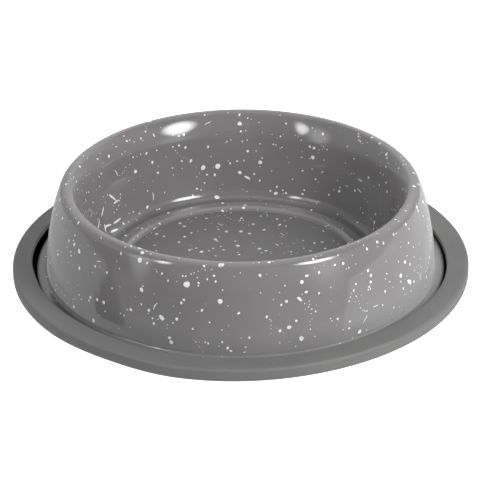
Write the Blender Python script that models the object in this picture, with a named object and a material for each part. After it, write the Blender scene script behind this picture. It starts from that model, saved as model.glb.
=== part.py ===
"""Non-tip pet bowl: a one-sheet steel bowl whose flared foot is gripped by a rubber ring.

Metres, +Z up. The origin is on the table, on the bowl's axis. Both pieces are turned:
their outlines are drawn in the half-plane (r, z) and carried round the axis.
"""

import math

import bpy
from mathutils import Vector

# Outside of the bowl
BOWL_HEIGHT = 0.0515       # table to the crest of the rim
RIM_RADIUS = 0.0913        # axis to the crest
RIM_INNER_ROUND = 0.0038   # crest over into the flare of the basin
RIM_OUTER_ROUND = 0.0037   # crest over into the skirt
FOOT_RADIUS = 0.1036       # skirt where it stands upright above its foot
COVE_RADIUS = 0.0015       # skirt turning out into the foot flange
FLANGE_TOP = 0.0050        # table to the upper face of the flange
FLANGE_WIDTH = 0.0085      # flat part of the flange
SHEET = 0.0008             # thickness of the steel

# Basin
FLARE_START = math.radians(46.0)  # slope from upright where the rim's round ends
FLARE_RADIUS = 0.0230      # wall curving out towards the rim
WALL_DRAFT = math.radians(10.0)   # lean of the straight wall from upright
BASIN_FILLET = 0.0080      # wall into the ledge round the floor
FLOOR_TOP = 0.0032         # table to the upper face of the floor
FLOOR_RADIUS = 0.0618      # floor inside its step
STEP_RUN = 0.0034          # width of the slope from the floor up to the ledge
STEP_RISE = 0.0017         # height of that slope
STEP_ROUND = 0.0015        # both bends of that slope

# Rubber ring
CLEARANCE = 0.0003         # groove to flange, all round
LIP_STANDOFF = 0.0054      # end of the cove to the lip
LIP_HEIGHT = 0.0075        # table to the lip's edge
LIP_ROUND = 0.0006         # edges of the lip and of the toe
RING_HEIGHT = 0.0084       # table to the line where the top and the outside would meet
RING_WALL = 0.0081         # rubber outside the groove
SIDE_HEIGHT = 0.0014       # upright part of the outside, between its two rounds
BASE_ROUND = 0.0024        # outside into the base
TOE_OVERHANG = 0.0035      # toe under the flange, in past the lip

TURN_STEPS = 64
AXIS_MERGE = 0.00001       # joins the turned points that lie on the axis


def clear_scene():
    for old in list(bpy.data.objects):
        bpy.data.objects.remove(old, do_unlink=True)


def paint(name, color, roughness):
    """A non-metallic coat or rubber: linear colour and roughness."""
    material = bpy.data.materials.new(name)
    material.use_nodes = True
    shader = material.node_tree.nodes["Principled BSDF"]
    shader.inputs["Base Color"].default_value = (*color, 1.0)
    shader.inputs["Roughness"].default_value = roughness
    shader.inputs["Metallic"].default_value = 0.0
    return material


def arc(centre, radius, start, end, steps):
    """Points on a circle from one angle to another, counted from +r."""
    turn = (end - start) / steps
    angles = [start + turn * i for i in range(steps + 1)]
    return [centre + radius * Vector((math.cos(a), math.sin(a))) for a in angles]


def rounded(before, corner, after, radius, steps):
    """The corner between two straight lines, replaced by an arc that touches both."""
    back = (before - corner).normalized()
    ahead = (after - corner).normalized()
    half = back.angle(ahead) / 2
    centre = corner + (back + ahead).normalized() * radius / math.sin(half)
    first = corner + back * radius / math.tan(half) - centre
    sweep = math.pi - 2 * half
    side = 1.0 if back.x * ahead.y < back.y * ahead.x else -1.0
    start = math.atan2(first.y, first.x)
    return arc(centre, radius, start, start + side * sweep, steps)


def offset_right(path, distance):
    """The path moved to the right of its own direction, mitred at each point."""
    lines = [(b - a).normalized() for a, b in zip(path, path[1:])]
    normals = [Vector((line.y, -line.x)) for line in lines]
    moved = []
    for point, before, after in zip(path, normals[:1] + normals, normals + normals[-1:]):
        moved.append(point + (before + after) * distance / (1 + before.dot(after)))
    return moved


def turned(name, outline, closed, material):
    """Carries an outline round the axis; it runs down the piece's outer side."""
    count = len(outline)
    edges = [(i, i + 1) for i in range(count - 1)]
    if closed:
        edges.append((count - 1, 0))
    mesh = bpy.data.meshes.new(name)
    mesh.from_pydata([(p.x, 0.0, p.y) for p in outline], edges, [])
    mesh.materials.append(material)
    piece = bpy.data.objects.new(name, mesh)
    bpy.context.collection.objects.link(piece)
    screw = piece.modifiers.new("turn", "SCREW")
    screw.axis = "Z"
    screw.angle = 2 * math.pi
    screw.steps = TURN_STEPS
    screw.render_steps = TURN_STEPS
    screw.use_merge_vertices = True
    screw.merge_threshold = AXIS_MERGE
    screw.use_smooth_shade = True
    return piece


def cove_end():
    """Radius at which the cove has run out into the flat flange."""
    return FOOT_RADIUS + COVE_RADIUS


def flange_edge():
    return cove_end() + FLANGE_WIDTH


def basin_face():
    """Stepped floor, ledge, fillet, wall and flare, from the axis up to the crest of the rim."""
    ledge = FLOOR_TOP + STEP_RISE
    middle = Vector((0.0, FLOOR_TOP))
    step_foot = Vector((FLOOR_RADIUS, FLOOR_TOP))
    step_head = Vector((FLOOR_RADIUS + STEP_RUN, ledge))
    flare_end = math.pi - FLARE_START
    rim_centre = Vector((RIM_RADIUS, BOWL_HEIGHT - RIM_INNER_ROUND))
    rim_inside = arc(rim_centre, RIM_INNER_ROUND, flare_end, math.pi / 2, 3)
    inward = Vector((math.cos(flare_end), math.sin(flare_end)))
    flare_centre = rim_inside[0] - inward * FLARE_RADIUS
    flare = arc(flare_centre, FLARE_RADIUS, math.pi - WALL_DRAFT, flare_end, 4)
    wall_top = flare[0]
    wall_foot = Vector((wall_top.x - (wall_top.y - ledge) * math.tan(WALL_DRAFT), ledge))
    path = [middle]
    path += rounded(middle, step_foot, step_head, STEP_ROUND, 2)
    path += rounded(step_foot, step_head, wall_foot, STEP_ROUND, 2)
    path += rounded(step_head, wall_foot, wall_top, BASIN_FILLET, 5)
    return path + flare + rim_inside[1:]


def skirt_face():
    """Rim, bulging skirt, cove and flange, from past the crest down to the flange edge.

    The skirt is one large arc that leaves the rim's round smoothly and is upright at
    the foot, which settles its radius. A foot set in under the rim makes that radius
    negative: the skirt then bows in instead of out.
    """
    foot_z = FLANGE_TOP + COVE_RADIUS
    rim_centre = Vector((RIM_RADIUS, BOWL_HEIGHT - RIM_OUTER_ROUND))
    reach = FOOT_RADIUS - rim_centre.x
    rise = rim_centre.y - foot_z
    bulge = (reach ** 2 + rise ** 2 - RIM_OUTER_ROUND ** 2) / (2 * (reach - RIM_OUTER_ROUND))
    bulge_centre = Vector((FOOT_RADIUS - bulge, foot_z))
    shoulder = math.atan(rise / (bulge - reach))
    path = arc(rim_centre, RIM_OUTER_ROUND, math.pi / 2, shoulder, 4)[1:]
    path += arc(bulge_centre, bulge, shoulder, 0.0, 8)[1:]
    path += arc(Vector((cove_end(), foot_z)), COVE_RADIUS, math.pi, 1.5 * math.pi, 5)[1:]
    path.append(Vector((flange_edge() - SHEET / 2, FLANGE_TOP)))
    return path


def steel_bowl():
    """The whole sheet: its visible face, the round flange edge and the hollow underside."""
    face = basin_face() + skirt_face()
    edge_centre = Vector((flange_edge() - SHEET / 2, FLANGE_TOP - SHEET / 2))
    edge = arc(edge_centre, SHEET / 2, math.pi / 2, -math.pi / 2, 4)[1:-1]
    underside = offset_right(face, SHEET)
    outline = face + edge + underside[::-1]
    return turned("steel_bowl", outline, False, paint("speckled_coat", (0.26, 0.25, 0.255), 0.3))


def rubber_ring():
    """Flat base, rounded outer edge, lip over the flange, groove and toe under it."""
    groove_end = flange_edge() + CLEARANCE
    groove_roof = FLANGE_TOP + CLEARANCE
    groove_floor = FLANGE_TOP - SHEET - CLEARANCE
    lip = cove_end() + LIP_STANDOFF
    toe = lip - TOE_OVERHANG
    outside = groove_end + RING_WALL
    shoulder_round = RING_HEIGHT - SIDE_HEIGHT - BASE_ROUND
    shoulder = Vector((outside, RING_HEIGHT))
    base_edge = Vector((outside, 0.0))
    lip_edge = Vector((lip, LIP_HEIGHT))
    lip_foot = Vector((lip, groove_roof))
    toe_base = Vector((toe, 0.0))
    toe_top = Vector((toe, groove_floor))
    groove_low = Vector((groove_end, groove_floor))
    groove_high = Vector((groove_end, groove_roof))
    outline = rounded(lip_foot, lip_edge, shoulder, LIP_ROUND, 2)
    outline += rounded(lip_edge, shoulder, base_edge, shoulder_round, 6)
    outline += rounded(shoulder, base_edge, toe_base, BASE_ROUND, 4)
    outline += rounded(base_edge, toe_base, toe_top, LIP_ROUND, 2)
    outline += rounded(toe_base, toe_top, groove_low, LIP_ROUND, 2)
    outline += [groove_low, groove_high, lip_foot]
    return turned("rubber_ring", outline, True, paint("grey_rubber", (0.16, 0.16, 0.157), 0.75))


clear_scene()
pet_bowl = bpy.data.objects.new("pet_bowl", None)
bpy.context.collection.objects.link(pet_bowl)
for part in (steel_bowl(), rubber_ring()):
    part.parent = pet_bowl
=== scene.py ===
"""Looks of a low non-tip pet bowl: a speckled, coated steel bowl standing in a grey rubber ring."""

import bisect
import math
import random

import bpy
from mathutils import Matrix, Quaternion, Vector


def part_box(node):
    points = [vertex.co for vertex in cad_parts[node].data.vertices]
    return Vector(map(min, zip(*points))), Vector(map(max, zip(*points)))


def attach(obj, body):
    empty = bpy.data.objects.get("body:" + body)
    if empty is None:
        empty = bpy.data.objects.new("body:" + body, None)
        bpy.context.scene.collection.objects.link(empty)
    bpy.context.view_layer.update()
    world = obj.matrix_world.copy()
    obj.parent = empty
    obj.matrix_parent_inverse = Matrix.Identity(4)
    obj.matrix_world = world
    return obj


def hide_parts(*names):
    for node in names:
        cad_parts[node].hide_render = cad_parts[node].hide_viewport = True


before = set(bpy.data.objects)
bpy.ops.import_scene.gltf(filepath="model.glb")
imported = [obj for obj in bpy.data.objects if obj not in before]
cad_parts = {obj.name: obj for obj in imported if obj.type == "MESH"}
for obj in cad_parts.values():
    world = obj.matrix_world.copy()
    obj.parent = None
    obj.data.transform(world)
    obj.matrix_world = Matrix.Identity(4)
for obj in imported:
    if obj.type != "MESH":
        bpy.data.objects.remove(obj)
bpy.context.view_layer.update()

# Steel bowl
# One disc of stainless sheet, drawn into a basin, rolled over at the rim and drawn down again as a
# bulging skirt, which turns out in a cove to a flat foot. Its upper face wears a glossy grey coat that
# is sprayed on and baked; the hidden underside is left as bare, spun-polished steel.
SHEET = 0.0008
RIM_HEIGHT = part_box("steel_bowl")[1].z
FOOT_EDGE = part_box("steel_bowl")[1].x
FOOT_TOP = 0.0041
COVE_RADIUS = 0.0015
SKIRT_FOOT_RADIUS = 0.1036
RIM_RADIUS = 0.0913
RIM_OUTER_ROUND = 0.0048
RIM_INNER_ROUND = 0.0038
FLARE_SLOPE = math.radians(46.0)
FLARE_RADIUS = 0.0230
WALL_LEAN = math.radians(10.0)
BASIN_FILLET = 0.0056
FLOOR_TOP = 0.0032
FLOOR_RADIUS = 0.0618
STEP_RUN = 0.0034
STEP_RISE = 0.0017
STEP_ROUND = 0.0015
# Painted shade in the ring's slot: the coat darkens to black and stops reflecting between these distances
# from the axis, which reach further in the further a place lies to the left or right.
SLOT_SHADE_START = 0.1173
SLOT_SHADE_FULL = 0.1193
SLOT_SHADE_SPREAD = 0.092
GLOSS_TURN = (-0.045, -0.025)
FLOOR_DULLNESS = 0.50
BOWL_TONE = 0.213
BOWL_GLOSS = (0.045, 0.045)
BOWL_REACH = 0.112
# Painted light and shade on the coat, as factors on its tone by distance from the axis: painted shade over
# the basin's floor, a paler band of painted light over the step and ledge, a dark band of painted shade at
# the foot of the basin's wall, and a little painted light on the lowest part of the skirt.
BOWL_PAINTED_LIGHT = ((0.0, 0.65), (0.0626, 0.65), (0.0638, 0.96), (0.0692, 0.96), (0.0706, 0.67), (0.0738, 0.67),
               (0.0765, 0.82), (0.1026, 0.82), (0.1036, 0.92))
BEND_STEP = math.radians(5.0)
LONG_BEND_STEP = math.radians(1.2)
TURN_STEPS = 288


def bend(centre, radius, start, end, step=BEND_STEP):
    """Points on a round bend, each with its normal, which lies to the left of the way along it."""
    steps = max(4, math.ceil(abs(end - start) / step))
    side = -1.0 if end > start else 1.0
    angles = [start + (end - start) * i / steps for i in range(steps + 1)]
    rays = [Vector((math.cos(a), math.sin(a))) for a in angles]
    return [(centre + ray * radius, ray * side) for ray in rays]


def corner(before, tip, after, radius):
    """The bend that rounds off the tip between two straight runs."""
    back = (before - tip).normalized()
    ahead = (after - tip).normalized()
    half = back.angle(ahead) / 2
    centre = tip + (back + ahead).normalized() * radius / math.sin(half)
    first = tip + back * radius / math.tan(half) - centre
    start = math.atan2(first.y, first.x)
    way = 1.0 if back.x * ahead.y < back.y * ahead.x else -1.0
    return bend(centre, radius, start, start + way * (math.pi - 2 * half))


def basin_face():
    """Floor, step, ledge, fillet, wall and flare, from the axis out and up to the rim's crest."""
    ledge = FLOOR_TOP + STEP_RISE
    middle = Vector((0.0, FLOOR_TOP))
    step_foot = Vector((FLOOR_RADIUS, FLOOR_TOP))
    step_head = Vector((FLOOR_RADIUS + STEP_RUN, ledge))
    crest = Vector((RIM_RADIUS, RIM_HEIGHT - RIM_INNER_ROUND))
    rim = bend(crest, RIM_INNER_ROUND, math.pi - FLARE_SLOPE, math.pi / 2)
    flare_middle = crest + rim[0][1] * (RIM_INNER_ROUND - FLARE_RADIUS)
    flare = bend(flare_middle, FLARE_RADIUS, math.pi - WALL_LEAN, math.pi - FLARE_SLOPE, LONG_BEND_STEP)
    wall_top = flare[0][0]
    wall_foot = Vector((wall_top.x - (wall_top.y - ledge) * math.tan(WALL_LEAN), ledge))
    face = [(middle, Vector((0.0, 1.0)))]
    face += corner(middle, step_foot, step_head, STEP_ROUND)
    face += corner(step_foot, step_head, wall_foot, STEP_ROUND)
    face += corner(step_head, wall_foot, wall_top, BASIN_FILLET)
    return face + flare + rim[1:]


def skirt_face():
    """Rim and bulging skirt, which is one arc, upright at the foot."""
    foot = FOOT_TOP + COVE_RADIUS
    crest = Vector((RIM_RADIUS, RIM_HEIGHT - RIM_OUTER_ROUND))
    reach = SKIRT_FOOT_RADIUS - crest.x
    rise = crest.y - foot
    bulge = (reach ** 2 + rise ** 2 - RIM_OUTER_ROUND ** 2) / (2 * (reach - RIM_OUTER_ROUND))
    shoulder = math.atan(rise / (bulge - reach))
    face = bend(crest, RIM_OUTER_ROUND, math.pi / 2, shoulder)[1:]
    face += bend(Vector((SKIRT_FOOT_RADIUS - bulge, foot)), bulge, shoulder, 0.0, LONG_BEND_STEP)[1:]
    return face


def foot_face():
    """Cove and flat foot flange, from the skirt's lower end out to the edge of the sheet."""
    cove = Vector((SKIRT_FOOT_RADIUS + COVE_RADIUS, FOOT_TOP + COVE_RADIUS))
    face = bend(cove, COVE_RADIUS, math.pi, 1.5 * math.pi)
    face.append((Vector((FOOT_EDGE - SHEET / 2, FOOT_TOP)), Vector((0.0, 1.0))))
    return face


def turned(name, outline, loop, coats, coat_of_step):
    """A smooth mesh carried round the axis, with the outline's own normals; bearing 0 is the front."""
    places = []
    normals = []
    rings = []
    for point, normal in outline:
        first = len(places)
        if point.x == 0.0:
            rings.append([first] * TURN_STEPS)
            places.append((0.0, 0.0, point.y))
            normals.append((0.0, 0.0, normal.y))
            continue
        rings.append(range(first, first + TURN_STEPS))
        for step in range(TURN_STEPS):
            bearing = 2 * math.pi * step / TURN_STEPS
            out = Vector((math.sin(bearing), -math.cos(bearing)))
            places.append((*out * point.x, point.y))
            normals.append((*out * normal.x, normal.y))
    faces = []
    slots = []
    for index, ring in enumerate(rings if loop else rings[:-1]):
        following = rings[(index + 1) % len(rings)]
        for here in range(TURN_STEPS):
            there = (here + 1) % TURN_STEPS
            face = (ring[here], following[here], following[there], ring[there])
            faces.append(tuple(dict.fromkeys(face)))
            slots.append(coat_of_step(index))
    mesh = bpy.data.meshes.new(name)
    mesh.from_pydata(places, [], faces)
    for coat in coats:
        mesh.materials.append(coat)
    mesh.polygons.foreach_set("material_index", slots)
    mesh.shade_smooth()
    mesh.normals_split_custom_set_from_vertices(normals)
    piece = bpy.data.objects.new(name, mesh)
    bpy.context.collection.objects.link(piece)
    return piece


def finish(name, color, roughness):
    """A new material: its node tree and its shader, with a plain colour and roughness to start from."""
    material = bpy.data.materials.new(name)
    material.use_nodes = True
    shader = material.node_tree.nodes["Principled BSDF"]
    shader.inputs["Base Color"].default_value = (*color, 1.0)
    shader.inputs["Roughness"].default_value = roughness
    return material, material.node_tree, shader


def node(tree, kind, settings=None, **inputs):
    """Adds a node, sets its properties, and sets or links the inputs named by their labels."""
    made = tree.nodes.new("ShaderNode" + kind)
    for key, value in (settings or {}).items():
        setattr(made, key, value)
    for label, value in inputs.items():
        socket = made.inputs[label.replace("_", " ")]
        if isinstance(value, bpy.types.NodeSocket):
            tree.links.new(value, socket)
        else:
            socket.default_value = value
    return made


def ramp(tree, factor, stops):
    """A colour ramp through (position, linear colour) stops."""
    made = node(tree, "ValToRGB", Fac=factor)
    band = made.color_ramp.elements
    while len(band) < len(stops):
        band.new(1.0)
    for stop, (position, color) in zip(band, stops):
        stop.position = position
        stop.color = (*color, 1.0)
    return made.outputs["Color"]


def radius_from_axis(tree, place):
    """Socket with the distance from the axis of a place that was split into X, Y and Z."""
    flat = node(tree, "CombineXYZ", X=place.outputs["X"], Y=place.outputs["Y"])
    return node(tree, "VectorMath", {"operation": "LENGTH"}, Vector=flat.outputs["Vector"]).outputs["Value"]


def grey_coat(name, tone, gloss, painted_shades):
    """Baked grey coat: faint clouds of tone and white dust, and painted shade that turns it black where the
    ring's slot begins.

    Its gloss runs between two roughnesses from left to right. Painted light and shade are laid on its tone
    along the radius or along X.
    """
    pale = Vector((tone, tone * 0.97, tone * 0.985))
    material, tree, shader = finish(name, pale, gloss[0])
    where = node(tree, "TexCoord").outputs["Object"]
    place = node(tree, "SeparateXYZ", Vector=where)
    radius = radius_from_axis(tree, place)
    clouds = node(tree, "TexNoise", Vector=where, Scale=38.0, Detail=3.0, Roughness=0.55)
    cloudy = ramp(tree, clouds.outputs["Fac"], [(0.3, pale * 0.95), (0.7, pale * 1.05)])
    # Painted light and shade: the tone is multiplied by a ramp of factors along the radius or along X.
    way, first, last, stops = painted_shades
    share = node(tree, "MapRange", Value=radius if way == "radius" else place.outputs[way],
                 From_Min=first, From_Max=last)
    painted_shade_ramp = ramp(tree, share.outputs["Result"],
                 [((at - first) / (last - first), (depth, depth, depth)) for at, depth in stops])
    shade_painted_coat = node(tree, "MixRGB", {"blend_type": "MULTIPLY"}, Fac=1.0, Color1=cloudy, Color2=painted_shade_ramp)
    grains = node(tree, "TexVoronoi", Vector=where, Scale=620.0, Randomness=1.0)
    chance = node(tree, "SeparateColor", Color=grains.outputs["Color"])
    size = node(tree, "MapRange", Value=chance.outputs["Red"], From_Min=0.86, To_Max=0.26)
    inside = node(tree, "Math", {"operation": "SUBTRACT"})
    tree.links.new(size.outputs["Result"], inside.inputs[0])
    tree.links.new(grains.outputs["Distance"], inside.inputs[1])
    dust = node(tree, "MapRange", Value=inside.outputs["Value"], From_Max=0.05)
    speckled = node(tree, "MixRGB", Fac=dust.outputs["Result"], Color1=shade_painted_coat.outputs["Color"],
                    Color2=(0.66, 0.66, 0.66, 1.0))
    # Painted shade in the ring's slot: black colour and no reflection past a distance from the axis that
    # comes further in towards the left and right.
    aside = node(tree, "Math", {"operation": "ABSOLUTE"}, Value=place.outputs["X"])
    slot = node(tree, "Math", {"operation": "MULTIPLY_ADD"})
    tree.links.new(aside.outputs["Value"], slot.inputs[0])
    slot.inputs[1].default_value = SLOT_SHADE_SPREAD
    tree.links.new(radius, slot.inputs[2])
    slot_shade = node(tree, "MapRange", {"interpolation_type": "SMOOTHSTEP"}, Value=slot.outputs["Value"],
                 From_Min=SLOT_SHADE_START, From_Max=SLOT_SHADE_FULL)
    slot_shaded_coat = node(tree, "MixRGB", Fac=slot_shade.outputs["Result"], Color1=speckled.outputs["Color"],
                  Color2=(0.002, 0.002, 0.002, 1.0))
    tree.links.new(slot_shaded_coat.outputs["Color"], shader.inputs["Base Color"])
    shade_specular = node(tree, "MapRange", Value=slot_shade.outputs["Result"], To_Min=0.5, To_Max=0.0)
    tree.links.new(shade_specular.outputs["Result"], shader.inputs["Specular IOR Level"])
    polish = node(tree, "MapRange", Value=place.outputs["X"], From_Min=GLOSS_TURN[0],
                  From_Max=GLOSS_TURN[1], To_Min=gloss[0], To_Max=gloss[1])
    dull = node(tree, "MapRange", Value=radius, From_Min=FLOOR_RADIUS, From_Max=FLOOR_RADIUS + STEP_ROUND,
                To_Min=FLOOR_DULLNESS, To_Max=0.0)
    worn = node(tree, "Math", {"operation": "ADD"})
    for socket, value in zip(worn.inputs, (dull, polish)):
        tree.links.new(value.outputs["Result"], socket)
    tree.links.new(worn.outputs["Value"], shader.inputs["Roughness"])
    flow = node(tree, "TexNoise", Vector=where, Scale=260.0, Detail=2.0, Roughness=0.5)
    peel = node(tree, "Bump", Height=flow.outputs["Fac"], Strength=0.05, Distance=0.0002)
    tree.links.new(peel.outputs["Normal"], shader.inputs["Normal"])
    return material


def bare_steel():
    """Satin stainless with the fine rings that spinning leaves and a few blurred stains."""
    material, tree, shader = finish("bare_satin_steel", (0.56, 0.55, 0.53), 0.34)
    shader.inputs["Metallic"].default_value = 1.0
    where = node(tree, "TexCoord").outputs["Object"]
    axes = node(tree, "SeparateXYZ", Vector=where)
    across = node(tree, "CombineXYZ", X=radius_from_axis(tree, axes), Z=axes.outputs["Z"])
    rings = node(tree, "TexNoise", Vector=across.outputs["Vector"], Scale=2600.0, Detail=2.0)
    stains = node(tree, "TexNoise", Vector=where, Scale=24.0, Detail=4.0)
    tint = ramp(tree, stains.outputs["Fac"], [(0.35, (0.50, 0.49, 0.47)), (0.65, (0.60, 0.59, 0.57))])
    tree.links.new(tint, shader.inputs["Base Color"])
    satin = node(tree, "MapRange", Value=rings.outputs["Fac"], From_Min=0.3, From_Max=0.7,
                 To_Min=0.26, To_Max=0.42)
    tree.links.new(satin.outputs["Result"], shader.inputs["Roughness"])
    grooves = node(tree, "Bump", Height=rings.outputs["Fac"], Strength=0.12, Distance=0.0001)
    tree.links.new(grooves.outputs["Normal"], shader.inputs["Normal"])
    return material


def underside(face):
    """The other face of the sheet, run back the other way."""
    return [(point - normal * SHEET, -normal) for point, normal in reversed(face)]


bowl_face = basin_face() + skirt_face()
coat = grey_coat("grey_speckled_coat", BOWL_TONE, BOWL_GLOSS, ("radius", 0.0, BOWL_REACH, BOWL_PAINTED_LIGHT))
steel = bare_steel()
bowl = turned("speckled_bowl", bowl_face + underside(bowl_face), False, [coat, steel],
              lambda step: 0 if step < len(bowl_face) else 1)
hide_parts("steel_bowl")
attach(bowl, "root")

# Foot
# The out-turned edge of the same sheet, which the rubber ring grips. The coat runs over its upper face and
# round its edge. The shade of the skirt and the ring is painted into the coat's colour, dark at the left and
# lighter towards the right, and the glossy skirt does not mirror it.
FOOT_TONE = 0.25
FOOT_GLOSS = (0.06, 0.60)
FOOT_REACH = 0.112
# Painted light and shade across the foot from left to right, as factors on its tone: dark painted shade at
# the left, lighter towards the right where the light falls.
FOOT_PAINTED_SHADE = ((-0.112, 0.15), (-0.098, 0.27), (-0.085, 0.50), (-0.07, 0.66), (-0.05, 0.62), (0.03, 0.62),
               (0.07, 0.74), (0.088, 0.90), (0.105, 1.0))
FLANGE_EDGE_STEP = math.radians(30.0)

flange_face = foot_face()
foot_coat = grey_coat("dull_speckled_coat_painted_shade", FOOT_TONE, FOOT_GLOSS,
                      ("X", -FOOT_REACH, FOOT_REACH, FOOT_PAINTED_SHADE))
sheet_middle = Vector((FOOT_EDGE - SHEET / 2, FOOT_TOP - SHEET / 2))
flange_edge = bend(sheet_middle, SHEET / 2, math.pi / 2, -math.pi / 2, FLANGE_EDGE_STEP)[1:-1]
flange_steps = len(flange_face) + len(flange_edge)
foot = turned("speckled_foot", flange_face + flange_edge + underside(flange_face), True, [foot_coat, steel],
              lambda step: 0 if step < flange_steps else 1)
foot.visible_glossy = False
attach(foot, "root")

# Splatter
# White enamel flicked over the wet grey coat and baked in with it, almost flush: round and oval drops of
# every size, strings of droplets, and short threads where the paint fell in a line.
DROP_RISE = 0.000022
DROP_ROOT = 0.00003
DROP_TOP_SHARE = 0.86
EDGE_TILT = 1.4
THREAD_STEPS = 6
SINGLE_DROPS = 1080
TYPICAL_DROP = 0.0012
DROP_SPREAD = 0.44
SMALLEST_DROP = 0.00045
LARGEST_DROP = 0.0024
LONG_DROP = 0.0042
LONG_DROP_ROWS = [0.3, 0.58]
TINY_DROP = 0.0008
TINY_SIDES = 8
DROP_SIDES = 14
DROP_WAVES = ((2, 0.07), (3, 0.05))
DROP_WIDTHS = (0.58, 1.0)
UPRIGHT_CHANCE = 0.7
UPRIGHT_SPREAD = 0.6
FLOOR_DROPS = 36
FLOOR_DROP_LENGTHS = (0.0013, 0.0024)
FLOOR_DROP_WIDTHS = (0.6, 1.0)
FLOOR_AREA = (0.02, 0.95)
STRINGS = 60
STRING_COUNTS = (3, 7)
STRING_SIZES = (0.0006, 0.0011)
STRING_WIDTHS = (0.75, 1.0)
STRING_SHRINK = (0.72, 1.0)
STRING_STRIDES = (0.0014, 0.0034)
STRING_BEND = 0.35
STRING_CLEAR_OF_AXIS = 0.01
THREADS = 46
THREAD_CURL = 0.5
THREAD_TIP = 0.3
THREAD_LENGTHS = (0.0018, 0.0050)
THREAD_WIDTHS = (0.00035, 0.00060)
CLEAR_OF_AXIS = 0.006
DROP_SLACK = 0.0003
MIDDLE_AREA = 0.01
SPLATTER_SEED = 58
MM = 0.001

# The most noticeable drops, in round numbers: side of the rim, bearing from the front in degrees, height,
# length and width in millimetres, and lean from upright in degrees.
LARGE_DROPS = (
    ("skirt", -57, 39, 3.0, 2.0, -45),
    ("skirt", -32, 48, 3.0, 2.5, 15),
    ("skirt", -30, 34, 2.5, 2.0, -45),
    ("skirt", -23, 22, 3.5, 2.5, -45),
    ("skirt", -16, 41, 3.5, 3.5, 0),
    ("skirt", -6, 34, 3.0, 2.5, -30),
    ("skirt", -6, 51, 3.5, 2.5, 45),
    ("skirt", 17, 12, 3.0, 2.5, 0),
    ("skirt", 17, 33, 3.5, 1.5, -45),
    ("skirt", 58, 20, 5.0, 2.5, -45),
    ("basin", 150, 32, 2.5, 2.5, 0),
    ("basin", 177, 16, 4.0, 1.5, 60),
    ("basin", 180, 46, 2.5, 2.5, 0),
    ("basin", -171, 23, 3.5, 3.0, 0),
    ("basin", -165, 23, 3.5, 2.5, -30),
    ("basin", -170, 6, 3.0, 2.5, 60),
)

# Long white streaks on one side of the basin's wall, which are painted reflections: their number, bearings
# in degrees, heights and sizes.
PAINTED_REFLECTION_STREAKS = 14
STREAK_BEARINGS = (-124, -98)
STREAK_HEIGHTS = (0.006, 0.026)
STREAK_LENGTHS = (0.005, 0.010)
STREAK_WIDTHS = (0.0010, 0.0018)

chance = random.Random(SPLATTER_SEED)
face_steps = [0.0]
face_areas = [0.0]
for (here, _), (there, _) in zip(bowl_face, bowl_face[1:]):
    face_steps.append(face_steps[-1] + (there - here).length)
    face_areas.append(face_areas[-1] + (there - here).length * (here.x + there.x))
crest_step = face_steps[len(basin_face()) - 1]
drop_places = []
drop_normals = []
drop_faces = []
taken = []


def on_face(along):
    """Point and normal at a distance along the coated face, counted from the middle of the floor."""
    step = min(max(bisect.bisect(face_steps, along), 1), len(face_steps) - 1)
    share = (along - face_steps[step - 1]) / (face_steps[step] - face_steps[step - 1])
    here, there = bowl_face[step - 1], bowl_face[step]
    return here[0].lerp(there[0], share), here[1].lerp(there[1], share).normalized()


def lay(along, bearing, across, up, rise, tilt=(0.0, 0.0)):
    """Adds a vertex near a spot on the face; tilt leans its normal sideways and uphill."""
    uphill = 1.0 if along < crest_step else -1.0
    point, normal = on_face(along + uphill * up)
    turn = bearing + across / point.x
    out = Vector((math.sin(turn), -math.cos(turn), 0.0))
    aside = Vector((math.cos(turn), math.sin(turn), 0.0))
    face_normal = out * normal.x + Vector((0.0, 0.0, normal.y))
    slope = (out * normal.y - Vector((0.0, 0.0, normal.x))) * uphill
    drop_places.append(out * point.x + Vector((0.0, 0.0, point.y)) + face_normal * rise)
    drop_normals.append((face_normal + aside * tilt[0] + slope * tilt[1]).normalized())
    return len(drop_places) - 1


def add_face(along, corners):
    """Adds a face of a drop; in the basin its corners run the other way round."""
    drop_faces.append(corners[::-1] if along < crest_step else corners)


def spot(along, bearing):
    point = on_face(along)[0]
    return Vector((math.sin(bearing) * point.x, -math.cos(bearing) * point.x, point.y))


def is_free(along, bearing, reach):
    """Keeps a drop clear of the others, of the axis and of the ends of the face."""
    if along - reach < CLEAR_OF_AXIS or along + reach > face_steps[-1]:
        return False
    place = spot(along, bearing)
    if any((place - other).length < reach + room + DROP_SLACK for other, room in taken):
        return False
    taken.append((place, reach))
    return True


def drop(along, bearing, length, width, lean):
    """One oval drop: a flat top that follows the face, a rounded edge and a root sunk in the coat."""
    if not is_free(along, bearing, math.sqrt(length * width) / 2):
        return
    sides = TINY_SIDES if length < TINY_DROP else DROP_SIDES
    waves = [(count, depth, chance.uniform(0.0, 2 * math.pi)) for count, depth in DROP_WAVES]
    ring = []
    for side in range(sides):
        turn = 2 * math.pi * side / sides
        swell = 1.0 + sum(depth * math.sin(count * turn + start) for count, depth, start in waves)
        long = math.cos(turn) * length / 2 * swell
        wide = math.sin(turn) * width / 2 * swell
        ring.append(Vector((wide * math.cos(lean) + long * math.sin(lean),
                            long * math.cos(lean) - wide * math.sin(lean))))
    shares = LONG_DROP_ROWS if length > LONG_DROP else []
    rows = [[lay(along, bearing, *place * share, DROP_RISE) for place in ring]
            for share in shares + [DROP_TOP_SHARE]]
    rows.append([lay(along, bearing, *place, -DROP_ROOT, place.normalized() * EDGE_TILT) for place in ring])
    rows += [[lay(along, bearing, *place * share, -DROP_ROOT) for place in ring] for share in shares[::-1]]
    middle = lay(along, bearing, 0.0, 0.0, DROP_RISE)
    root = lay(along, bearing, 0.0, 0.0, -DROP_ROOT)
    for side in range(sides):
        after = (side + 1) % sides
        add_face(along, (middle, rows[0][after], rows[0][side]))
        for inner, outer in zip(rows, rows[1:]):
            add_face(along, (inner[after], outer[after], outer[side], inner[side]))
        add_face(along, (root, rows[-1][side], rows[-1][after]))


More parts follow.
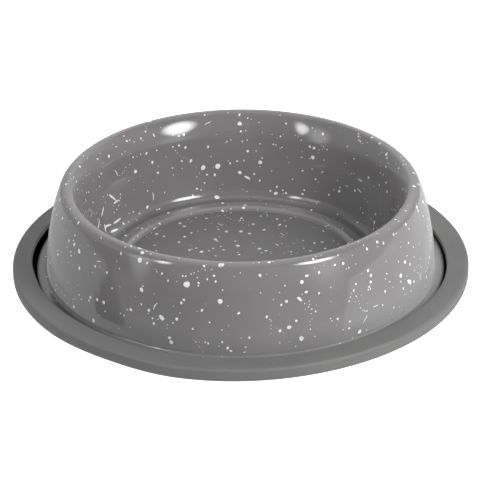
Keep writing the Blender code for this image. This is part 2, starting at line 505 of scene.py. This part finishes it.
def thread(along, bearing, length, width, heading, curl):
    """A thin line of paint that tapers to both ends and may curl."""
    if not is_free(along, bearing, length / 2):
        return
    stations = []
    place = Vector((0.0, 0.0))
    for step in range(THREAD_STEPS + 1):
        share = step / THREAD_STEPS - 0.5
        turn = heading + curl * share
        taper = width / 2 * max(THREAD_TIP, math.sqrt(1.0 - 4 * share ** 2))
        side = Vector((math.cos(turn), -math.sin(turn)))
        stations.append((place.copy(), side, taper))
        place += Vector((math.sin(turn), math.cos(turn))) * length / THREAD_STEPS
    middle = stations[THREAD_STEPS // 2][0]
    rows = []
    for place, side, taper in stations:
        left, right = place - middle - side * taper, place - middle + side * taper
        rows.append((lay(along, bearing, *left, DROP_RISE, side * -EDGE_TILT / 2),
                     lay(along, bearing, *right, DROP_RISE, side * EDGE_TILT / 2),
                     lay(along, bearing, *right, -DROP_ROOT, side * EDGE_TILT),
                     lay(along, bearing, *left, -DROP_ROOT, side * -EDGE_TILT)))
    for here, there in zip(rows, rows[1:]):
        for corner_from in range(4):
            corner_to = (corner_from + 1) % 4
            add_face(along, (here[corner_from], here[corner_to], there[corner_to], there[corner_from]))
    add_face(along, rows[0][::-1])
    add_face(along, rows[-1])


def string_of_drops(along, bearing):
    """Droplets that one flick left in a row, smaller towards its end."""
    heading = chance.uniform(0.0, 2 * math.pi)
    size = chance.uniform(*STRING_SIZES)
    for _ in range(chance.randint(*STRING_COUNTS)):
        drop(along, bearing, size, size * chance.uniform(*STRING_WIDTHS), heading)
        stride = chance.uniform(*STRING_STRIDES)
        heading += chance.gauss(0.0, STRING_BEND)
        along += stride * math.cos(heading)
        if not STRING_CLEAR_OF_AXIS < along < face_steps[-1]:
            return
        bearing += stride * math.sin(heading) / on_face(along)[0].x
        size *= chance.uniform(*STRING_SHRINK)


def anywhere():
    """A spot on the face, equally likely over its whole area."""
    area = chance.uniform(face_areas[1] * MIDDLE_AREA, face_areas[-1])
    step = min(bisect.bisect(face_areas, area), len(face_areas) - 1)
    share = (area - face_areas[step - 1]) / (face_areas[step] - face_areas[step - 1])
    if step == 1:
        share = math.sqrt(share)
    along = face_steps[step - 1] + share * (face_steps[step] - face_steps[step - 1])
    return along, chance.uniform(-math.pi, math.pi)


def along_at(side, height):
    """Distance along the face at a height on the basin or on the skirt."""
    steps = range(1, len(bowl_face))
    if side == "skirt":
        steps = reversed(steps)
    for step in steps:
        here, there = bowl_face[step - 1][0].y, bowl_face[step][0].y
        if min(here, there) <= height <= max(here, there) and here != there:
            share = (height - here) / (there - here)
            return face_steps[step - 1] + share * (face_steps[step] - face_steps[step - 1])
    return crest_step


for side, bearing, height, length, width, lean in LARGE_DROPS:
    drop(along_at(side, height * MM), math.radians(bearing), length * MM, width * MM, math.radians(lean))
# Painted reflections: long white streaks on the left of the basin's wall.
for _ in range(PAINTED_REFLECTION_STREAKS):
    bearing = math.radians(chance.uniform(*STREAK_BEARINGS))
    drop(along_at("basin", chance.uniform(*STREAK_HEIGHTS)), bearing, chance.uniform(*STREAK_LENGTHS),
         chance.uniform(*STREAK_WIDTHS), chance.uniform(-math.pi, math.pi))
for _ in range(STRINGS):
    string_of_drops(*anywhere())
for _ in range(THREADS):
    length = chance.uniform(*THREAD_LENGTHS)
    thread(*anywhere(), length, chance.uniform(*THREAD_WIDTHS), chance.uniform(-math.pi, math.pi),
           chance.gauss(0.0, THREAD_CURL))
for _ in range(SINGLE_DROPS):
    length = TYPICAL_DROP * math.exp(chance.gauss(0.0, DROP_SPREAD))
    length = min(max(length, SMALLEST_DROP), LARGEST_DROP)
    lies_upright = chance.random() < UPRIGHT_CHANCE
    lean = chance.gauss(0.0, UPRIGHT_SPREAD) if lies_upright else chance.uniform(-math.pi, math.pi)
    drop(*anywhere(), length, length * chance.uniform(*DROP_WIDTHS), lean)
for _ in range(FLOOR_DROPS):
    length = chance.uniform(*FLOOR_DROP_LENGTHS)
    drop(FLOOR_RADIUS * math.sqrt(chance.uniform(*FLOOR_AREA)), chance.uniform(-math.pi, math.pi), length,
         length * chance.uniform(*FLOOR_DROP_WIDTHS), chance.uniform(-math.pi, math.pi))


def white_enamel():
    """Glossy white enamel, a touch greyer where it ran thin."""
    material, tree, shader = finish("white_enamel", (0.76, 0.76, 0.765), 0.10)
    shader.inputs["Specular IOR Level"].default_value = 0.40
    where = node(tree, "TexCoord").outputs["Object"]
    thin = node(tree, "TexNoise", Vector=where, Scale=420.0, Detail=2.0)
    tone = ramp(tree, thin.outputs["Fac"], [(0.3, (0.68, 0.68, 0.69)), (0.6, (0.78, 0.78, 0.785))])
    tree.links.new(tone, shader.inputs["Base Color"])
    gloss = node(tree, "MapRange", Value=thin.outputs["Fac"], From_Min=0.3, From_Max=0.7,
                 To_Min=0.07, To_Max=0.14)
    tree.links.new(gloss.outputs["Result"], shader.inputs["Roughness"])
    return material


splatter_mesh = bpy.data.meshes.new("white_splatter")
splatter_mesh.from_pydata(drop_places, [], drop_faces)
splatter_mesh.materials.append(white_enamel())
splatter_mesh.shade_smooth()
splatter_mesh.normals_split_custom_set_from_vertices(drop_normals)
splatter = bpy.data.objects.new("white_splatter", splatter_mesh)
bpy.context.collection.objects.link(splatter)
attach(splatter, "root")

# Rubber ring
# Moulded in one piece from matte grey rubber with a groove inside, and stretched over the bowl's foot by
# hand: it lies a little unevenly, so the dark slot beside its lip is wider at the left than at the right.
RING_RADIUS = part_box("rubber_ring")[1].x
SHOULDER_HEIGHT = 0.0073
GROOVE_GAP = 0.0003
LIP_RADIUS = 0.1105
LIP_HEIGHT = 0.0075
LIP_UNDERSIDE = 0.0056
LIP_ROUND = 0.0007
TOE_RADIUS = 0.1068
INNER_ROUND = 0.0003
SHOULDER_ROUND = 0.0016
BASE_ROUND = 0.0024

# How far the lip and the outer edge stand out past their true circles, by bearing from the front in
# degrees, in steps of half a millimetre.
LIP_PULL = ((-180, 0.0), (-95, 0.0015), (-75, 0.0), (-45, -0.001), (-25, 0.0), (40, -0.0015), (75, 0.0),
            (115, -0.002), (180, 0.0))
EDGE_PULL = ((-180, 0.0), (-55, 0.0), (-35, -0.001), (-15, 0.001), (30, -0.0005), (90, 0.0), (180, 0.0))


def grey_rubber():
    """Matte rubber: fine moulded grain, a bloom of paler dust, no gloss to speak of."""
    material, tree, shader = finish("matte_grey_rubber", (0.134, 0.134, 0.132), 0.62)
    where = node(tree, "TexCoord").outputs["Object"]
    bloom = node(tree, "TexNoise", Vector=where, Scale=55.0, Detail=4.0)
    tone = ramp(tree, bloom.outputs["Fac"], [(0.3, (0.126, 0.127, 0.125)), (0.7, (0.141, 0.141, 0.139))])
    tree.links.new(tone, shader.inputs["Base Color"])
    grain = node(tree, "TexNoise", Vector=where, Scale=2400.0, Detail=2.0)
    rough = node(tree, "MapRange", Value=grain.outputs["Fac"], From_Min=0.3, From_Max=0.7,
                 To_Min=0.54, To_Max=0.70)
    tree.links.new(rough.outputs["Result"], shader.inputs["Roughness"])
    bumps = node(tree, "Bump", Height=grain.outputs["Fac"], Strength=0.18, Distance=0.0001)
    tree.links.new(bumps.outputs["Normal"], shader.inputs["Normal"])
    return material


def ring_outline():
    """Section of the ring, from the lip over the rounded outside to the flat base, toe and groove."""
    groove_end = FOOT_EDGE + GROOVE_GAP
    groove_floor = FOOT_TOP - SHEET - GROOVE_GAP
    tips = [Vector((LIP_RADIUS, LIP_UNDERSIDE)), Vector((LIP_RADIUS, LIP_HEIGHT)),
            Vector((RING_RADIUS, SHOULDER_HEIGHT)), Vector((RING_RADIUS, 0.0)),
            Vector((TOE_RADIUS, 0.0)), Vector((TOE_RADIUS, groove_floor)),
            Vector((groove_end, groove_floor)), Vector((groove_end, LIP_UNDERSIDE))]
    rounds = [INNER_ROUND, LIP_ROUND, SHOULDER_ROUND, BASE_ROUND,
              LIP_ROUND, LIP_ROUND, INNER_ROUND, INNER_ROUND]
    outline = []
    for before, tip, after, radius in zip(tips[-1:] + tips, tips, tips[1:] + tips[:1], rounds):
        outline += corner(before, tip, after, radius)
    return outline


def pulled(bearing, pulls):
    """The pull at a bearing, eased from each listed bearing to the next."""
    turn = math.degrees(bearing)
    for (first, low), (last, high) in zip(pulls, pulls[1:]):
        if first <= turn <= last:
            share = (turn - first) / (last - first)
            return low + (high - low) * share * share * (3 - 2 * share)
    return 0.0


ring = turned("rubber_ring_skin", ring_outline(), True, [grey_rubber()], lambda step: 0)
for vertex in ring.data.vertices:
    radius = vertex.co.xy.length
    bearing = math.atan2(vertex.co.x, -vertex.co.y)
    if vertex.co.z > LIP_UNDERSIDE - INNER_ROUND or radius > FOOT_EDGE + GROOVE_GAP:
        share = min(max((radius - LIP_RADIUS) / (RING_RADIUS - LIP_RADIUS), 0.0), 1.0)
        pull = pulled(bearing, LIP_PULL) * (1.0 - share) + pulled(bearing, EDGE_PULL) * share
        vertex.co.xy *= 1.0 + pull / radius
ring.visible_glossy = False
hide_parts("rubber_ring")
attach(ring, "root")

# Stage
# A pale studio floor under soft lights, seen from above the front at the photograph's angle.
FLOOR_SIDE = 6.0
FLOOR_GLOW = 1.0
EYE_TARGET = Vector((-0.0003, -0.0030, 0.0185))
EYE_DISTANCE = 1.464
EYE_ELEVATION = 0.47672
EYE_ROLL = -0.00779
LENS = 205.8
SENSOR = 36.0
NEAREST_SEEN = 0.05
LAMP_DISTANCE = 1.2

floor_mesh = bpy.data.meshes.new("pale_floor")
half_side = FLOOR_SIDE / 2
floor_corners = [(-half_side, -half_side), (half_side, -half_side),
                 (half_side, half_side), (-half_side, half_side)]
floor_mesh.from_pydata([(x, y, 0.0) for x, y in floor_corners], [], [(0, 1, 2, 3)])
floor_white, _, floor_shader = finish("pale_floor", (0.5, 0.5, 0.5), 0.9)
floor_shader.inputs["Specular IOR Level"].default_value = 0.0
floor_shader.inputs["Emission Color"].default_value = (1.0, 1.0, 1.0, 1.0)
floor_shader.inputs["Emission Strength"].default_value = FLOOR_GLOW
floor_mesh.materials.append(floor_white)
floor = bpy.data.objects.new("pale_floor", floor_mesh)
bpy.context.collection.objects.link(floor)
floor.visible_diffuse = False
floor.visible_glossy = False
floor.visible_shadow = False


def softbox(name, bearing, elevation, lean, width, height, radiance, core, lights_matte=True):
    """A soft lamp aimed at the bowl, even over its core and fading to its edge; bearing 0 is the front."""
    turn, lift = math.radians(bearing), math.radians(elevation)
    out = Vector((math.sin(turn) * math.cos(lift), -math.cos(turn) * math.cos(lift), math.sin(lift)))
    light = bpy.data.lights.new(name, "AREA")
    light.shape = "RECTANGLE"
    light.size = width
    light.size_y = height
    light.energy = math.pi * width * height * radiance
    lamp = bpy.data.objects.new(name, light)
    lamp.location = out * LAMP_DISTANCE
    facing = (-out).to_track_quat("-Z", "Y") @ Quaternion((0.0, 0.0, 1.0), math.radians(lean))
    lamp.rotation_euler = facing.to_euler()
    lamp.visible_camera = False
    lamp.visible_diffuse = lights_matte
    bpy.context.collection.objects.link(lamp)
    light.use_nodes = True
    tree = light.node_tree
    place = node(tree, "VectorMath", {"operation": "SUBTRACT"})
    tree.links.new(node(tree, "NewGeometry").outputs["Position"], place.inputs[0])
    place.inputs[1].default_value = lamp.location
    spread = node(tree, "CombineXYZ")
    for label, way, side in (("X", (1.0, 0.0, 0.0), width), ("Y", (0.0, 1.0, 0.0), height)):
        share = node(tree, "VectorMath", {"operation": "DOT_PRODUCT"})
        tree.links.new(place.outputs["Vector"], share.inputs[0])
        share.inputs[1].default_value = facing @ Vector(way) * 2 / side
        tree.links.new(share.outputs["Value"], spread.inputs[label])
    reach = node(tree, "VectorMath", {"operation": "LENGTH"}, Vector=spread.outputs["Vector"])
    fade = node(tree, "MapRange", {"interpolation_type": "SMOOTHSTEP"}, Value=reach.outputs["Value"],
                From_Min=core, From_Max=1.0, To_Min=1.0, To_Max=0.0)
    tree.links.new(fade.outputs["Result"], tree.nodes["Emission"].inputs["Strength"])


softbox("key_softbox", bearing=51.0, elevation=40.5, lean=-12.0, width=0.56, height=0.94,
        radiance=19.5, core=0.42)
softbox("left_strip", bearing=-51.0, elevation=37.5, lean=12.0, width=0.25, height=0.94,
        radiance=14.0, core=0.25)
softbox("left_card", bearing=-62.0, elevation=24.0, lean=9.0, width=0.50, height=1.36,
        radiance=3.3, core=0.20)
softbox("key_halo", bearing=50.0, elevation=13.0, lean=0.0, width=0.80, height=0.95,
        radiance=2.2, core=0.0, lights_matte=False)
softbox("overhead_sheen", bearing=180.0, elevation=82.0, lean=0.0, width=1.50, height=1.30,
        radiance=1.2, core=0.4, lights_matte=False)

# Brightness of the studio by bearing from the front in degrees, positive to the right: the pale table near
# the bowl and further off, the dark gap past its edge, the walls, their upper part and the ceiling. Each row
# takes over from the one before it between two elevations in degrees.
STUDIO = (
    (-90, -89, ((-180, 0.3), (-150, 0.4), (-130, 0.6), (-115, 0.88), (-95, 1.0), (-70, 0.9), (0, 1.0),
                (45, 1.4), (62, 1.7), (85, 2.0), (110, 1.6), (135, 0.9), (165, 0.6), (180, 0.5))),
    (-25.5, -24, ((-180, 0.55), (-150, 0.65), (-115, 0.92), (-93, 0.95), (-92, 0.0), (-71, 0.0),
                  (-70, 0.9), (-25, 0.9), (0, 1.0), (45, 1.4), (59, 1.5), (61, 2.5), (85, 2.1),
                  (110, 1.6), (135, 1.2), (160, 1.0), (180, 0.65))),
    (-19, -14, ((-180, 0.75), (-150, 0.85), (-115, 0.9), (-88, 0.9), (-87, 0.0), (-74, 0.0),
                (-73, 0.55), (-25, 0.5), (0, 0.65), (45, 1.0), (61, 1.05), (63, 2.2), (85, 1.8),
                (110, 1.5), (135, 1.35), (160, 1.25), (180, 0.75))),
    (-12, -7, ((-180, 0.85), (-150, 0.75), (-115, 0.85), (-84, 0.9), (-83, 0.0), (-78, 0.0), (-77, 0.4),
               (-50, 0.2), (-25, 0.15), (0, 0.35), (45, 0.6), (63, 0.7), (65, 1.9), (90, 1.6),
               (110, 1.4), (135, 1.35), (160, 1.3), (180, 0.85))),
    (-3.5, -2, ((-180, 0.9), (-150, 0.4), (-115, 0.5), (-100, 0.3), (-85, 0.06), (-25, 0.0), (0, 0.1),
                (50, 0.3), (90, 0.65), (110, 0.45), (135, 0.35), (160, 0.8), (180, 0.9))),
    (3, 6, ((-180, 1.1), (-150, 0.85), (-115, 0.65), (-83, 0.7), (-65, 0.15), (0, 0.15), (30, 0.65),
            (60, 0.6), (90, 0.6), (110, 0.4), (135, 0.7), (165, 1.1), (180, 1.1))),
    (22, 28, ((-180, 1.5), (-150, 1.3), (-115, 0.6), (-85, 0.4), (-60, 0.05), (-10, 0.05), (30, 0.5),
              (60, 0.5), (75, 0.8), (100, 0.7), (135, 1.5), (165, 1.5), (180, 1.5))),
    (43, 49, ((-180, 1.0), (-150, 0.8), (-120, 0.05), (120, 0.05), (150, 0.8), (180, 1.0))),
    (60, 66, ((-180, 0.05), (180, 0.05))),
)
BRIGHTEST = 2.7
world = bpy.data.worlds.new("studio")
world.use_nodes = True
air = world.node_tree
ray = node(air, "SeparateXYZ", Vector=node(air, "TexCoord").outputs["Generated"])
front = node(air, "Math", {"operation": "MULTIPLY"})
air.links.new(ray.outputs["Y"], front.inputs[0])
front.inputs[1].default_value = -1.0
heading = node(air, "Math", {"operation": "ARCTAN2"})
air.links.new(ray.outputs["X"], heading.inputs[0])
air.links.new(front.outputs["Value"], heading.inputs[1])
round_share = node(air, "MapRange", Value=heading.outputs["Value"], From_Min=-math.pi, From_Max=math.pi)
level = (0.0, 0.0, 0.0, 1.0)
for low, high, stops in STUDIO:
    row = ramp(air, round_share.outputs["Result"],
               [(turn / 360 + 0.5, [glow / BRIGHTEST] * 3) for turn, glow in stops])
    above = node(air, "MapRange", Value=ray.outputs["Z"], From_Min=math.sin(math.radians(low)),
                 From_Max=math.sin(math.radians(high)))
    level = node(air, "MixRGB", Fac=above.outputs["Result"], Color1=level, Color2=row).outputs["Color"]
backdrop = air.nodes["Background"]
air.links.new(level, backdrop.inputs["Color"])
backdrop.inputs["Strength"].default_value = BRIGHTEST
bpy.context.scene.world = world
bpy.context.scene.view_settings.view_transform = "Standard"

eye = bpy.data.cameras.new("eye")
eye.lens = LENS
eye.sensor_width = SENSOR
eye.clip_start = NEAREST_SEEN
eye_object = bpy.data.objects.new("eye", eye)
gaze = Vector((0.0, math.cos(EYE_ELEVATION), -math.sin(EYE_ELEVATION)))
aim = gaze.to_track_quat("-Z", "Y").to_matrix() @ Matrix.Rotation(EYE_ROLL, 3, "Z")
eye_object.matrix_world = Matrix.Translation(EYE_TARGET - gaze * EYE_DISTANCE) @ aim.to_4x4()
bpy.context.collection.objects.link(eye_object)
bpy.context.scene.camera = eye_object
